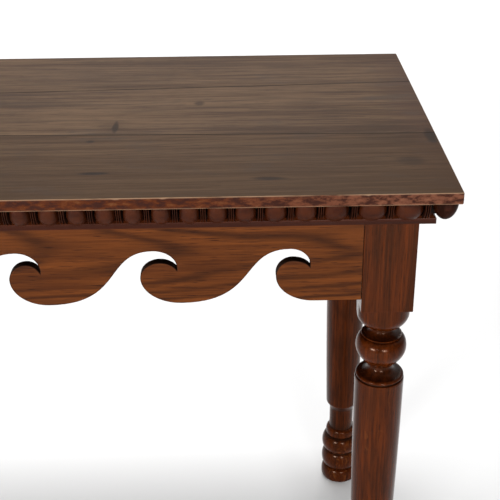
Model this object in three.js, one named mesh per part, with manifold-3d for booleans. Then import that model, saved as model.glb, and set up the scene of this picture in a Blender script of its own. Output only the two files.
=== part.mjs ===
// Oak communion table: plank top, ovolo moulding, wave-cut aprons, four turned legs.
// Millimetres, +Z up. Origin on the floor under the middle of the top; the front is at -Y.
import * as THREE from 'three';
import { mergeVertices } from 'three/addons/utils/BufferGeometryUtils.js';
import Module from 'manifold-3d';

const wasm = await Module();
wasm.setup();

// ---- overall sizes -------------------------------------------------------------------
const topLength = 1524;        // along X
const topDepth = 636;          // along Y
const tableHeight = 914;       // floor to the top's upper face
const topThickness = 18;

// ---- clearances ----------------------------------------------------------------------
const fit = 0.3;               // between glued or resting faces
const holeFit = 0.4;           // around a screw, on the radius

// ---- top boards: both joints run slightly askew, narrow end beside wide end ----------
const frontJointLeft = 258;    // from the front edge to the front joint, at the left end
const frontJointRight = 225;   // and at the right end
const rearBoardLeft = 232;     // width of the rear board at the left end
const rearBoardRight = 165;    // and at the right end
const tongueWidth = 18;        // loose tongue, across the joint
const tongueThickness = 5;
const tongueStop = 24;         // tongue stops short of the top's ends

// ---- moulding under the top ----------------------------------------------------------
const mouldingInset = 4.5;     // top's edge to the widest part of the moulding
const ovoloHeight = 34;
const ovoloProjection = 21.5;  // how far the ovolo leans out over its foot
const ovoloSteps = 6;
const filletInset = 29.5;      // top's edge to the fillet's face
const filletHeight = 9;

// ---- legs ----------------------------------------------------------------------------
const legInset = 49;           // top's edge to the leg's outer face
const legSquare = 78;
const blockBelowApron = 20;    // square block, apron's foot to shoulder
const turnSegments = 24;

// heights of the turning below the block
const cupWall = 20;            // straight part of the cup
const cupBowl = 22;            // rounded part under it
const upperNeckHeight = 9;
const upperFlareHeight = 9;
const bulbShoulder = 20;       // bulb above its widest ring
const bulbBelly = 28;          // bulb below it
const lowerNeckHeight = 8;
const lowerFlareHeight = 12;
const drumHeight = 6;
const rimGroove = 3;
// heights of the foot, from the floor up
const lowRingHeight = 30;
const midRingHeight = 42;
const highRingHeight = 39;
const collarHeight = 20;
const footNeckHeight = 50;
const columnChamfer = 12;
const columnSwell = 1.4;       // entasis: how far the column bulges past a straight taper
const columnSteps = 4;
// depths turned away from the half width of the square
const rimCut = 0.4;
const cupCut = 0.8;
const bulbCut = 0.6;
const upperDiscCut = 6.6;
const drumCut = 2.8;
const neckCut = 20;
const columnFootCut = 7;
const footNeckCut = 14.5;
const collarCut = 8;
const ringCut = 0.5;
const ringValleyCut = 7;
const footFaceCut = 4;

// ---- aprons --------------------------------------------------------------------------
const apronHeight = 175;       // top's underside to the lowest edge
const apronThickness = 15;
const tenonLength = 30;
const tenonThickness = 9;
const tenonTopHaunch = 25;     // above the tenon
const tenonFootHaunch = 10;    // below the tenon

// ---- running waves along the long aprons ---------------------------------------------
const wavePitch = 197;
const waveHeight = 86;         // lower edge to crest
const crestRadius = 35;
const lastCrestToLeg = 106;
const headReach = 20;          // head's nose ahead of its crest
const headNoseHeight = 42;
const headTop = 66;
const headTopReach = 6;        // head's highest point behind its crest
const headFoot = 36;           // head's lowest point behind its crest
const slotEnd = 33;            // blind end of the slot behind its crest
const slotEndHeight = 52;
const curveSteps = 6;

// ---- cross bearers under the top -----------------------------------------------------
const bearerSpacing = 500;
const bearerWidth = 32;
const bearerHeight = 44;
const bearerHousing = 7;       // how far each end is let into an apron

// ---- wooden buttons that hold the top down -------------------------------------------
const buttonLength = 34;
const buttonWidth = 26;
const buttonThickness = 18;
const buttonTongue = 5;        // reach into the apron
const buttonTongueThickness = 7;
const slotExtra = 12;          // slot longer than the button is wide
const endButtonMargin = 95;    // leg's inner face to the nearest button

// ---- countersunk wood screws ---------------------------------------------------------
const screwLength = 28;
const screwRadius = 2;
const screwHeadRadius = 4.2;
const screwHeadHeight = 3;
const screwSlotWidth = 1;
const screwSlotDepth = 1.2;
const screwPointLength = 5;
const screwSegments = 12;
const screwIntoTop = 11;

// ---- places worked out from the sizes ------------------------------------------------
const halfLength = topLength / 2;
const halfDepth = topDepth / 2;
const underTop = tableHeight - topThickness;
const apronFoot = underTop - apronHeight;
const shoulderZ = apronFoot - blockBelowApron;
const legX = halfLength - legInset - legSquare / 2;
const legY = halfDepth - legInset - legSquare / 2;
const longApronLength = topLength - 2 * (legInset + legSquare + fit);
const endApronLength = topDepth - 2 * (legInset + legSquare + fit);
const frameFrontY = -halfDepth + legInset;
const frameInnerY = frameFrontY + apronThickness;
const frameInnerX = halfLength - legInset - apronThickness;
const columnFootZ = lowRingHeight + midRingHeight + highRingHeight + collarHeight + footNeckHeight;

// ---- materials -----------------------------------------------------------------------
const finish = (color, roughness, metalness = 0) =>
  new THREE.MeshStandardMaterial({ color, roughness, metalness });
const topOak = () => finish(0x63544a, 0.55);
const mouldingOak = () => finish(0x5a3018, 0.38);
const apronOak = () => finish(0x74401f, 0.4);
const legOak = () => finish(0x4e2814, 0.28);
const framePine = () => finish(0x8a6a45, 0.75);
const screwSteel = () => finish(0x6e6a64, 0.45, 0.9);

// ---- joining and cutting -------------------------------------------------------------
function toSolid(geometry) {
  const bare = geometry.clone();
  bare.deleteAttribute('normal');
  bare.deleteAttribute('uv');
  const merged = mergeVertices(bare, 1e-4);
  return new wasm.Manifold(new wasm.Mesh({
    numProp: 3,
    vertProperties: new Float32Array(merged.attributes.position.array),
    triVerts: new Uint32Array(merged.index.array),
  }));
}

function toGeometry(solid) {
  const mesh = solid.getMesh();
  const geometry = new THREE.BufferGeometry();
  geometry.setAttribute('position', new THREE.BufferAttribute(mesh.vertProperties, 3));
  geometry.setIndex(new THREE.BufferAttribute(mesh.triVerts, 1));
  geometry.computeVertexNormals();
  return geometry;
}

function cut(geometry, ...tools) {
  return toGeometry(tools.reduce((solid, tool) => solid.subtract(toSolid(tool)), toSolid(geometry)));
}

function join(geometry, ...others) {
  return toGeometry(others.reduce((solid, other) => solid.add(toSolid(other)), toSolid(geometry)));
}

// A box between two corners.
function block([x0, y0, z0], [x1, y1, z1]) {
  const box = new THREE.BoxGeometry(x1 - x0, y1 - y0, z1 - z0);
  return box.translate((x0 + x1) / 2, (y0 + y1) / 2, (z0 + z1) / 2);
}

// A flat outline drawn in X and Z, given its thickness towards +Y.
function plate(shape, thickness, steps) {
  const options = { depth: thickness, bevelEnabled: false, curveSegments: steps };
  return new THREE.ExtrudeGeometry(shape, options).rotateX(Math.PI / 2).translate(0, thickness, 0);
}

// A turned solid about Z, from [radius, height] points running upwards.
function turned(points, segments) {
  const profile = points.map(([radius, height]) => new THREE.Vector2(radius, height));
  return new THREE.LatheGeometry(profile, segments).rotateX(Math.PI / 2);
}

function place(name, geometry, material, position, turn = 0) {
  const mesh = new THREE.Mesh(geometry, material);
  mesh.name = name;
  mesh.position.set(...position);
  mesh.rotation.z = turn;
  return mesh;
}

// ---- fastenings: where every button and screw sits ------------------------------------
// The joint lines of the top, as Y at a given X.
function alongTop(atLeft, atRight, x) {
  return THREE.MathUtils.lerp(atLeft, atRight, (x + halfLength) / topLength);
}

const frontJointY = (x) => alongTop(frontJointLeft, frontJointRight, x) - halfDepth;
const rearJointY = (x) => halfDepth - alongTop(rearBoardLeft, rearBoardRight, x);
const middleBoardY = (x) => (frontJointY(x) + rearJointY(x)) / 2;

// Each row: name, point on an apron's inner face, and the turn that faces the button inwards.
function buttonPlaces() {
  const reachX = longApronLength / 2 - endButtonMargin;
  const rows = [];
  [['front', 1, 0], ['back', -1, Math.PI]].forEach(([side, sign, turn]) => {
    [['left', -reachX], ['middle', 0], ['right', reachX]].forEach(([where, x]) => {
      rows.push([`${side}_${where}`, [x, sign * frameInnerY], turn]);
    });
  });
  rows.push(['left_end', [-frameInnerX, middleBoardY(-frameInnerX)], -Math.PI / 2]);
  rows.push(['right_end', [frameInnerX, middleBoardY(frameInnerX)], Math.PI / 2]);
  return rows;
}

const buttonScrewOffset = (buttonLength + fit) / 2;

function buttonScrewPlaces() {
  return buttonPlaces().map(([name, [x, y], turn]) => [
    name,
    [x - Math.sin(turn) * buttonScrewOffset, y + Math.cos(turn) * buttonScrewOffset],
  ]);
}

// Every bearer has one screw into each board.
function bearerScrewPlaces() {
  const rows = [];
  [['left', -bearerSpacing / 2], ['right', bearerSpacing / 2]].forEach(([where, x]) => {
    rows.push([`${where}_front`, [x, (frontJointY(x) + frameInnerY) / 2]]);
    rows.push([`${where}_middle`, [x, middleBoardY(x)]]);
    rows.push([`${where}_rear`, [x, (rearJointY(x) - frameInnerY) / 2]]);
  });
  return rows;
}

// ---- the top -------------------------------------------------------------------------
function topOutline(corners) {
  const shape = new THREE.Shape();
  corners.forEach(([x, y], index) => (index ? shape.lineTo(x, y) : shape.moveTo(x, y)));
  shape.closePath();
  return shape;
}

function boardGeometry(corners) {
  return new THREE.ExtrudeGeometry(topOutline(corners), { depth: topThickness, bevelEnabled: false });
}

// A straight bar along one joint, as wide and thick as asked, centred in the thickness.
function jointBar(jointAt, width, thickness, stop) {
  const left = -halfLength + stop;
  const right = halfLength - stop;
  const corners = [
    [left, jointAt(left) - width / 2],
    [right, jointAt(right) - width / 2],
    [right, jointAt(right) + width / 2],
    [left, jointAt(left) + width / 2],
  ];
  const bar = new THREE.ExtrudeGeometry(topOutline(corners), { depth: thickness, bevelEnabled: false });
  return bar.translate(0, 0, (topThickness - thickness) / 2);
}

function screwHole(x, y) {
  const radius = screwRadius + holeFit;
  const hole = new THREE.CylinderGeometry(radius, radius, 2 * (screwIntoTop + 1), screwSegments);
  return hole.rotateX(Math.PI / 2).translate(x, y, 0);
}

function topBoards() {
  const left = -halfLength;
  const right = halfLength;
  const outlines = {
    top_board_front: [
      [left, -halfDepth], [right, -halfDepth],
      [right, frontJointY(right) - fit / 2], [left, frontJointY(left) - fit / 2],
    ],
    top_board_middle: [
      [left, frontJointY(left) + fit / 2], [right, frontJointY(right) + fit / 2],
      [right, rearJointY(right) - fit / 2], [left, rearJointY(left) - fit / 2],
    ],
    top_board_rear: [
      [left, rearJointY(left) + fit / 2], [right, rearJointY(right) + fit / 2],
      [right, halfDepth], [left, halfDepth],
    ],
  };
  const grooves = [frontJointY, rearJointY].map((joint) =>
    jointBar(joint, tongueWidth + 2 * fit, tongueThickness + 2 * fit, tongueStop - fit));
  const holes = [...buttonScrewPlaces(), ...bearerScrewPlaces()].map(([, [x, y]]) => screwHole(x, y));
  return Object.entries(outlines).map(([name, corners]) =>
    place(name, cut(boardGeometry(corners), ...grooves, ...holes), topOak(), [0, 0, underTop]));
}

function tongues() {
  return [['tongue_front', frontJointY], ['tongue_rear', rearJointY]].map(([name, joint]) =>
    place(name, jointBar(joint, tongueWidth, tongueThickness, tongueStop), framePine(), [0, 0, underTop]));
}

// ---- the moulding --------------------------------------------------------------------
// Section drawn as [inset from the top's edge, height below the top].
function mouldingSection() {
  const shape = new THREE.Shape();
  shape.moveTo(legInset - fit, -fit);
  shape.lineTo(mouldingInset, -fit);
  for (let step = 0; step <= ovoloSteps; step += 1) {
    const angle = (Math.PI / 2) * (step / ovoloSteps);
    const inset = mouldingInset + ovoloProjection * (1 - Math.cos(angle));
    shape.lineTo(inset, -fit - (ovoloHeight - fit) * Math.sin(angle));
  }
  shape.lineTo(filletInset, -ovoloHeight);
  shape.lineTo(filletInset, -ovoloHeight - filletHeight);
  shape.lineTo(legInset - fit, -ovoloHeight - filletHeight);
  shape.closePath();
  return shape;
}

// One length of moulding with its ends mitred to the corners of the top.
function mouldingLength(halfRun) {
  const bar = new THREE.ExtrudeGeometry(mouldingSection(), { depth: 2, bevelEnabled: false });
  const points = bar.attributes.position;
  for (let index = 0; index < points.count; index += 1) {
    const inset = points.getX(index);
    const height = points.getY(index);
    const end = points.getZ(index) > 1 ? 1 : -1;
    points.setXYZ(index, end * (halfRun - inset - fit), inset, height);
  }
  return toGeometry(toSolid(bar));
}

function mouldings() {
  const long = mouldingLength(halfLength);
  const short = mouldingLength(halfDepth);
  return [
    place('moulding_front', long, mouldingOak(), [0, -halfDepth, underTop]),
    place('moulding_back', long.clone(), mouldingOak(), [0, halfDepth, underTop], Math.PI),
    place('moulding_right', short, mouldingOak(), [halfLength, 0, underTop], Math.PI / 2),
    place('moulding_left', short.clone(), mouldingOak(), [-halfLength, 0, underTop], -Math.PI / 2),
  ];
}

// ---- the legs ------------------------------------------------------------------------
const radiusAt = (depthOfCut) => legSquare / 2 - depthOfCut;

// Points along a rounded bead that bulges between two valleys.
function bead(z0, height, valley, crown) {
  const steps = 5;
  const points = [];
  for (let step = 1; step < steps; step += 1) {
    const angle = Math.PI * (step / steps);
    points.push([valley + (crown - valley) * Math.sin(angle), z0 + (height * (1 - Math.cos(angle))) / 2]);
  }
  return points;
}

// Points up a rounded belly, from its foot to its widest ring.
function belly([footRadius, footZ], [wideRadius, wideZ]) {
  return [0, 30, 60, 90].map((degrees) => {
    const angle = THREE.MathUtils.degToRad(degrees);
    const radius = footRadius + (wideRadius - footRadius) * Math.sin(angle);
    return [radius, wideZ + (footZ - wideZ) * Math.cos(angle)];
  });
}

function footProfile() {
  const valley = radiusAt(ringValleyCut);
  const crown = radiusAt(ringCut);
  const midZ = lowRingHeight;
  const highZ = midZ + midRingHeight;
  const collarZ = highZ + highRingHeight;
  const neckZ = collarZ + collarHeight;
  return [
    [0, 0],
    [radiusAt(footFaceCut), 0],
    [crown, lowRingHeight * 0.4],
    [crown, lowRingHeight * 0.6],
    [valley, midZ],
    ...bead(midZ, midRingHeight, valley, crown),
    [valley, highZ],
    ...bead(highZ, highRingHeight, valley, crown),
    [radiusAt(collarCut), collarZ],
    [radiusAt(collarCut), collarZ + collarHeight / 2],
    [radiusAt(footNeckCut), neckZ],
    [radiusAt(footNeckCut), neckZ + footNeckHeight],
  ];
}

// The column swells a little past the straight line from its foot to its rim.
function columnProfile(footZ, rimZ) {
  const points = [];
  for (let step = 0; step <= columnSteps; step += 1) {
    const along = step / columnSteps;
    const straight = THREE.MathUtils.lerp(radiusAt(columnFootCut), radiusAt(rimCut), along);
    const swell = columnSwell * Math.sin(Math.PI * along);
    points.push([straight + swell, THREE.MathUtils.lerp(footZ, rimZ, along)]);
  }
  return points;
}

function crownProfile(rimTop) {
  const drumTop = rimTop + rimGroove + drumHeight;
  const lowerNeckFoot = drumTop + lowerFlareHeight;
  const bulbFoot = lowerNeckFoot + lowerNeckHeight;
  const bulbWide = bulbFoot + bulbBelly;
  const bulbTop = bulbWide + bulbShoulder;
  const flareTop = bulbTop + upperFlareHeight;
  const neckTop = flareTop + upperNeckHeight;
  return [
    [radiusAt(drumCut), rimTop + rimGroove],
    [radiusAt(drumCut), drumTop],
    [radiusAt(neckCut), lowerNeckFoot],
    ...belly([radiusAt(neckCut), bulbFoot], [radiusAt(bulbCut), bulbWide]),
    [radiusAt(upperDiscCut), bulbTop],
    [radiusAt(neckCut), flareTop],
    ...belly([radiusAt(neckCut), neckTop], [radiusAt(cupCut), neckTop + cupBowl]),
    [radiusAt(cupCut), shoulderZ + 1],
    [0, shoulderZ + 1],
  ];
}

function legProfile() {
  const rimTop = shoulderZ - cupWall - cupBowl - upperNeckHeight - upperFlareHeight - bulbShoulder
    - bulbBelly - lowerNeckHeight - lowerFlareHeight - drumHeight - rimGroove;
  return [...footProfile(), ...columnProfile(columnFootZ + columnChamfer, rimTop), ...crownProfile(rimTop)];
}

// A slot for a tenon, open on the block's inner face at -X.
function mortise() {
  const near = -legSquare / 2 + apronThickness - tenonThickness - fit;
  const far = -legSquare / 2 + apronThickness + fit;
  return block(
    [-legSquare / 2 - 1, near, apronFoot + tenonFootHaunch - fit],
    [-legSquare / 2 + tenonLength + 2 * fit, far, underTop - tenonTopHaunch + fit],
  );
}

// One leg, standing at the front right corner.
function legGeometry() {
  const half = legSquare / 2;
  const square = block([-half, -half, shoulderZ], [half, half, underTop - fit]);
  const turning = turned(legProfile(), turnSegments);
  const longMortise = mortise();
  const endMortise = mortise().scale(1, -1, 1);
  endMortise.index.array.reverse();
  endMortise.rotateZ(-Math.PI / 2);
  return cut(join(square, turning), longMortise, endMortise);
}

function legs() {
  const corners = [
    ['leg_front_right', 1, -1, 0],
    ['leg_back_right', 1, 1, Math.PI / 2],
    ['leg_back_left', -1, 1, Math.PI],
    ['leg_front_left', -1, -1, -Math.PI / 2],
  ];
  return corners.map(([name, sideX, sideY, turn]) =>
    place(name, legGeometry(), legOak(), [sideX * legX, sideY * legY, 0], turn));
}

// ---- the aprons ----------------------------------------------------------------------
// Lower edge of a long apron, right to left, one wave at a time.
function drawWave(path, crestX) {
  const nose = crestX - headReach;
  const foot = crestX + headFoot;
  const run = wavePitch - headFoot;
  const low = (x, z) => new THREE.Vector2(x, z);
  const lowerHead = new THREE.EllipseCurve(foot, headNoseHeight, foot - nose, headNoseHeight,
    -Math.PI / 2, -Math.PI, true);
  const topX = crestX + headTopReach;
  const upperHead = new THREE.EllipseCurve(topX, headNoseHeight, topX - nose, headTop - headNoseHeight,
    Math.PI, Math.PI / 2, true);
  const slotFloor = new THREE.CubicBezierCurve(low(topX, headTop),
    low(topX + (slotEnd - headTopReach) * 0.5, headTop),
    low(crestX + slotEnd - (slotEnd - headTopReach) * 0.35, slotEndHeight + 3),
    low(crestX + slotEnd, slotEndHeight));
  const crest = new THREE.EllipseCurve(crestX, waveHeight - crestRadius, crestRadius, crestRadius,
    0.1, Math.PI / 2, false);
  const rise = new THREE.CubicBezierCurve(low(crestX, waveHeight),
    low(crestX - run * 0.31, waveHeight), low(crestX - run * 0.53, 0), low(crestX - run, 0));
  [lowerHead, upperHead, slotFloor, crest, rise].forEach((curve) => path.curves.push(curve));
}

function waveOutline(length) {
  const riseRun = wavePitch - headFoot;
  const waves = Math.floor((length - lastCrestToLeg - riseRun) / wavePitch) + 1;
  const edge = new THREE.CurvePath();
  for (let wave = 0; wave < waves; wave += 1) {
    drawWave(edge, length / 2 - lastCrestToLeg - wave * wavePitch);
  }
  const points = [new THREE.Vector2(length / 2, 0)];
  edge.curves.forEach((curve) => points.push(...curve.getPoints(curveSteps)));
  points.push(new THREE.Vector2(-length / 2, 0), new THREE.Vector2(-length / 2, apronHeight - fit));
  points.push(new THREE.Vector2(length / 2, apronHeight - fit));
  return new THREE.Shape(points.filter((point, index) =>
    index === 0 || point.distanceTo(points[index - 1]) > 0.01));
}

function plainOutline(length) {
  const half = length / 2;
  return topOutline([[-half, 0], [half, 0], [half, apronHeight - fit], [-half, apronHeight - fit]]);
}

// Tenons at both ends of an apron, flush with its inner face.
function apronTenons(length) {
  return [-1, 1].map((end) => {
    const from = end * (length / 2 - 1);
    const to = end * (length / 2 + fit + tenonLength);
    return block(
      [Math.min(from, to), apronThickness - tenonThickness, tenonFootHaunch],
      [Math.max(from, to), apronThickness, apronHeight - tenonTopHaunch],
    );
  });
}

// Slot in an apron's inner face for a button's tongue.
function buttonSlot(x) {
  const half = (buttonWidth + slotExtra) / 2;
  const foot = apronHeight - buttonThickness - fit;
  return block(
    [x - half, apronThickness - buttonTongue - fit, foot],
    [x + half, apronThickness + 1, foot + buttonTongueThickness + 2 * fit],
  );
}

// Notch in the top edge of a long apron for a bearer's end.
function bearerNotch(x) {
  const half = bearerWidth / 2 + fit;
  return block(
    [x - half, apronThickness - bearerHousing - fit, apronHeight - bearerHeight - fit],
    [x + half, apronThickness + 1, apronHeight + 1],
  );
}

function longApron() {
  const reach = longApronLength / 2 - endButtonMargin;
  const board = plate(waveOutline(longApronLength), apronThickness, curveSteps);
  const slots = [-reach, 0, reach].map(buttonSlot);
  const notches = [-bearerSpacing / 2, bearerSpacing / 2].map(bearerNotch);
  return cut(join(board, ...apronTenons(longApronLength)), ...slots, ...notches);
}

function endApron(slotX) {
  const board = plate(plainOutline(endApronLength), apronThickness, 1);
  return cut(join(board, ...apronTenons(endApronLength)), buttonSlot(slotX));
}

function aprons() {
  const sideX = halfLength - legInset;
  const right = endApron(middleBoardY(frameInnerX));
  const left = endApron(-middleBoardY(-frameInnerX));
  return [
    place('apron_front', longApron(), apronOak(), [0, frameFrontY, apronFoot]),
    place('apron_back', longApron(), apronOak(), [0, -frameFrontY, apronFoot], Math.PI),
    place('apron_right', right, apronOak(), [sideX, 0, apronFoot], Math.PI / 2),
    place('apron_left', left, apronOak(), [-sideX, 0, apronFoot], -Math.PI / 2),
  ];
}

// ---- bearers, buttons and screws ------------------------------------------------------
// Depth from the underside of a piece to the screw head's face, so that each screw bites alike.
const headDrop = screwLength - screwIntoTop;

function sunkHole(x, y, pieceThickness) {
  const shank = new THREE.CylinderGeometry(screwRadius + holeFit, screwRadius + holeFit,
    2 * pieceThickness, screwSegments);
  const wide = screwHeadRadius + holeFit;
  const seat = headDrop - screwHeadHeight - holeFit;
  const well = new THREE.CylinderGeometry(wide, wide, pieceThickness, screwSegments);
  shank.rotateX(Math.PI / 2).translate(x, y, 0);
  well.rotateX(Math.PI / 2).translate(x, y, -seat - pieceThickness / 2);
  return [shank, well];
}

function bearers() {
  const reach = halfDepth - legInset - apronThickness + bearerHousing;
  return [['left', -bearerSpacing / 2], ['right', bearerSpacing / 2]].map(([where, x]) => {
    const bar = block([-bearerWidth / 2, -reach, -bearerHeight], [bearerWidth / 2, reach, -fit]);
    const holes = bearerScrewPlaces()
      .filter(([name]) => name.startsWith(where))
      .flatMap(([, [, y]]) => sunkHole(0, y, bearerHeight));
    return place(`cross_bearer_${where}`, cut(bar, ...holes), framePine(), [x, 0, underTop]);
  });
}

// A button, its tongue pointing to -Y, its apron's inner face at Y = 0.
function buttonGeometry() {
  const half = buttonWidth / 2;
  const body = block([-half, fit, -buttonThickness], [half, fit + buttonLength, -fit]);
  const tongue = block(
    [-half, -buttonTongue + fit, -buttonThickness],
    [half, fit + 1, -buttonThickness + buttonTongueThickness],
  );
  return cut(join(body, tongue), ...sunkHole(0, buttonScrewOffset, buttonThickness));
}

function buttons() {
  return buttonPlaces().map(([name, [x, y], turn]) =>
    place(`button_${name}`, buttonGeometry(), framePine(), [x, y, underTop], turn));
}

// A slotted screw pointing up, its head's face at the bottom.
function screwGeometry() {
  const tip = screwLength;
  const shaft = turned([
    [0, 0], [screwHeadRadius, 0], [screwRadius, screwHeadHeight],
    [screwRadius, tip - screwPointLength], [0, tip],
  ], screwSegments);
  const reach = screwHeadRadius + 1;
  const slot = block([-reach, -screwSlotWidth / 2, -1], [reach, screwSlotWidth / 2, screwSlotDepth]);
  return cut(shaft, slot);
}

function screws() {
  const named = [
    ...buttonScrewPlaces().map(([name, at]) => [`screw_button_${name}`, at]),
    ...bearerScrewPlaces().map(([name, at]) => [`screw_bearer_${name}`, at]),
  ];
  return named.map(([name, [x, y]]) =>
    place(name, screwGeometry(), screwSteel(), [x, y, underTop - headDrop]));
}

// ---- the table -----------------------------------------------------------------------
const table = new THREE.Group();
[topBoards, tongues, mouldings, legs, aprons, bearers, buttons, screws].forEach((makePieces) => {
  const set = new THREE.Group();
  set.add(...makePieces());
  table.add(set);
});

export default table;
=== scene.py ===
"""Oak communion table: plank top, egg-and-dart moulding, wave-cut aprons and four turned legs.

Metres throughout, in the frame's own axes: X along the table, the front at -Y, the floor at Z = 0."""

import math
import random

import bmesh
import bpy
from mathutils import Matrix, Vector, noise


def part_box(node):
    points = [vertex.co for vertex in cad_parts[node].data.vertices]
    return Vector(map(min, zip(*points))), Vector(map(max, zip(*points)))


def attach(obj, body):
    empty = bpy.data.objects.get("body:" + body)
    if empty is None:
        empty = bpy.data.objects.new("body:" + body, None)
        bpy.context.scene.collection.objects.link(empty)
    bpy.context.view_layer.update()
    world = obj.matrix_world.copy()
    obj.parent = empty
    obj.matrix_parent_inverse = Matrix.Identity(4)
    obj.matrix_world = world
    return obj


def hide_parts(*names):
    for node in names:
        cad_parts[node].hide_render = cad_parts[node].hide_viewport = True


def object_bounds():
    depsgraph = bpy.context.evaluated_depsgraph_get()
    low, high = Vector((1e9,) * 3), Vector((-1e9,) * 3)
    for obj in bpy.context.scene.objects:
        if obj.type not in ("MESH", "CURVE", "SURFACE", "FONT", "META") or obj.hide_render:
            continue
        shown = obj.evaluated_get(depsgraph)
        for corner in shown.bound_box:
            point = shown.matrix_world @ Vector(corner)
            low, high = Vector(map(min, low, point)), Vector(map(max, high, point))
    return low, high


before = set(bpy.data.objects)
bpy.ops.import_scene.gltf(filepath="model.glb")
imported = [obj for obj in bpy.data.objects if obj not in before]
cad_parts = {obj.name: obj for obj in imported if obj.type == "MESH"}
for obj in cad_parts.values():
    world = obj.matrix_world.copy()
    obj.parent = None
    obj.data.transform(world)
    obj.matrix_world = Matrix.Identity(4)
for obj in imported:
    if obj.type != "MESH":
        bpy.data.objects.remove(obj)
CAD_LOW, CAD_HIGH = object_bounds()

bl_info = {
    "name": "Oak Communion Table",
    "version": (1, 0, 0),
    "blender": (4, 5, 0),
    "location": "View3D > Sidebar > Table",
    "description": "Builds a carved and turned oak communion table round its packed frame",
    "category": "Object",
}

MM = 0.001
QUARTER = math.pi / 2
FIT = 0.3 * MM  # gap left between neighbouring parts
SOFT_ANGLE = math.radians(38)  # edges sharper than this stay crisp
BODY = "root"

# ---- places read from the frame --------------------------------------------------------
HALF_LENGTH = (CAD_HIGH.x - CAD_LOW.x) / 2
HALF_DEPTH = (CAD_HIGH.y - CAD_LOW.y) / 2
TOP_Z = CAD_HIGH.z
UNDER_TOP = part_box("top_board_front")[0].z
APRON_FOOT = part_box("apron_front")[0].z
LEG_LOW, LEG_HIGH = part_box("leg_front_right")
APRON_FACE = -LEG_LOW.y  # distance of the front face from the middle
LEG_X = (LEG_LOW.x + LEG_HIGH.x) / 2
LEG_Y = (LEG_LOW.y + LEG_HIGH.y) / 2
LEG_HALF = (LEG_HIGH.x - LEG_LOW.x) / 2
APRON_THICK = 15 * MM
BLOCK_DROP = 20 * MM  # the leg's square runs on below the apron
SHOULDER = APRON_FOOT - BLOCK_DROP


def linear(hexed):
    """A colour such as '6b5b4e' as linear red, green and blue."""
    parts = [int(hexed[i : i + 2], 16) / 255 for i in (0, 2, 4)]
    return tuple(p / 12.92 if p <= 0.04045 else ((p + 0.055) / 1.055) ** 2.4 for p in parts)


def size(name, description, default):
    return bpy.props.FloatProperty(
        name=name, description=description, default=default, min=0.0, max=1.0, unit="LENGTH", precision=4
    )


def count(name, description, default, least=0):
    return bpy.props.IntProperty(name=name, description=description, default=default, min=least)


def angle(name, description, degrees):
    turn = math.radians(degrees)
    return bpy.props.FloatProperty(name=name, description=description, default=turn, subtype="ANGLE")


def watts(name, description, default):
    about = "Power of the " + description + ", in watts"
    return bpy.props.FloatProperty(name=name, description=about, default=default, min=0.0, max=2000.0)


def colour(name, description, hexed):
    return bpy.props.FloatVectorProperty(
        name=name, description=description, default=linear(hexed), subtype="COLOR", size=3, min=0.0, max=1.0
    )


# ---- settings --------------------------------------------------------------------------
class TopSettings(bpy.types.PropertyGroup):
    """Sizes and colours of the plank top."""

    front_arris: size("Front arris", "Radius worn onto the top's outer upper edge", 1.5 * MM)
    joint_arris: size("Joint arris", "Radius along the joints between the boards", 0.9 * MM)
    under_arris: size("Under arris", "Radius along the lower edges", 1.1 * MM)
    ripple: size("Ripple", "Depth of the hollows planed and worn into the face", 0.5 * MM)
    nicks: count("Nicks", "Small knocks in the front edge", 9)
    pale: colour("Pale grain", "Lightest fibres of the weathered face", "614b37")
    brown: colour("Brown grain", "Main colour of the weathered face", "3c291a")
    dark: colour("Dark grain", "Late wood and old stains", "251911")
    edge: colour("Edge", "Redder oak along the top's edges", "461e07")
    edge_pale: colour("Edge wear", "Bare wood along the arrises", "634226")


class MouldingSettings(bpy.types.PropertyGroup):
    """Sizes and colours of the carved moulding."""

    egg_width: size("Egg width", "Width of an ordinary egg", 26 * MM)
    dart_width: size("Dart width", "Carved gap between two eggs", 7.4 * MM)
    egg_inset: size("Egg inset", "Top's edge to the front of an egg", 4.8 * MM)
    ground_inset: size("Ground inset", "Top's edge to the sunk ground", 35 * MM)
    fillet_inset: size("Fillet inset", "Top's edge to the fillet's face", 29.5 * MM)
    carved_height: size("Carved height", "Top's underside to the fillet", 34 * MM)
    fillet_height: size("Fillet height", "Height of the plain fillet", 9 * MM)
    corner_inset: size("Corner inset", "Top's edges to the middle of a corner egg", 20.5 * MM)
    corner_radius: size("Corner egg radius", "Radius of a corner egg", 18.6 * MM)
    corner_lift: size("Corner egg lift", "Fillet to the lowest point of a corner egg", 4 * MM)
    end_steps: count("Eggs, half an end", "Egg steps in half an end run", 7, 6)
    long_steps: count("Eggs, half a side", "Egg steps in half a long run", 18, 6)
    wide_extra: size("First steps", "Extra width of the three steps nearest a corner", 12 * MM)
    next_extra: size("Next steps", "Extra width of the three steps after them", 3 * MM)
    belly: colour("Belly", "Colour of the eggs", "2f0f03")
    worn: colour("Worn", "Paler oak where hands have rubbed", "421d0a")
    # hollow is painted shade in the carving's recesses as well as the dirt held there
    hollow: colour("Hollow", "Dirt held in the carving", "0b0503")


class ApronSettings(bpy.types.PropertyGroup):
    """Sizes and colours of the aprons."""

    arris: size("Arris", "Rounding left on the sawn edges", 0.8 * MM)
    wave_pitch: size("Wave pitch", "Crest to crest", 197 * MM)
    wave_height: size("Wave height", "Lower edge to crest", 86 * MM)
    last_crest: size("Last crest", "Right leg to the first crest", 106 * MM)
    pale: colour("Pale grain", "Lightest fibres", "592e10")
    brown: colour("Brown grain", "Main colour", "3c1c08")
    dark: colour("Dark grain", "Late wood and polish in the pores", "1a0903")
    # the sawn colour is painted shade on the cut faces
    sawn: colour("Sawn edge", "Darkened end grain in the cuts", "1c0f08")


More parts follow.
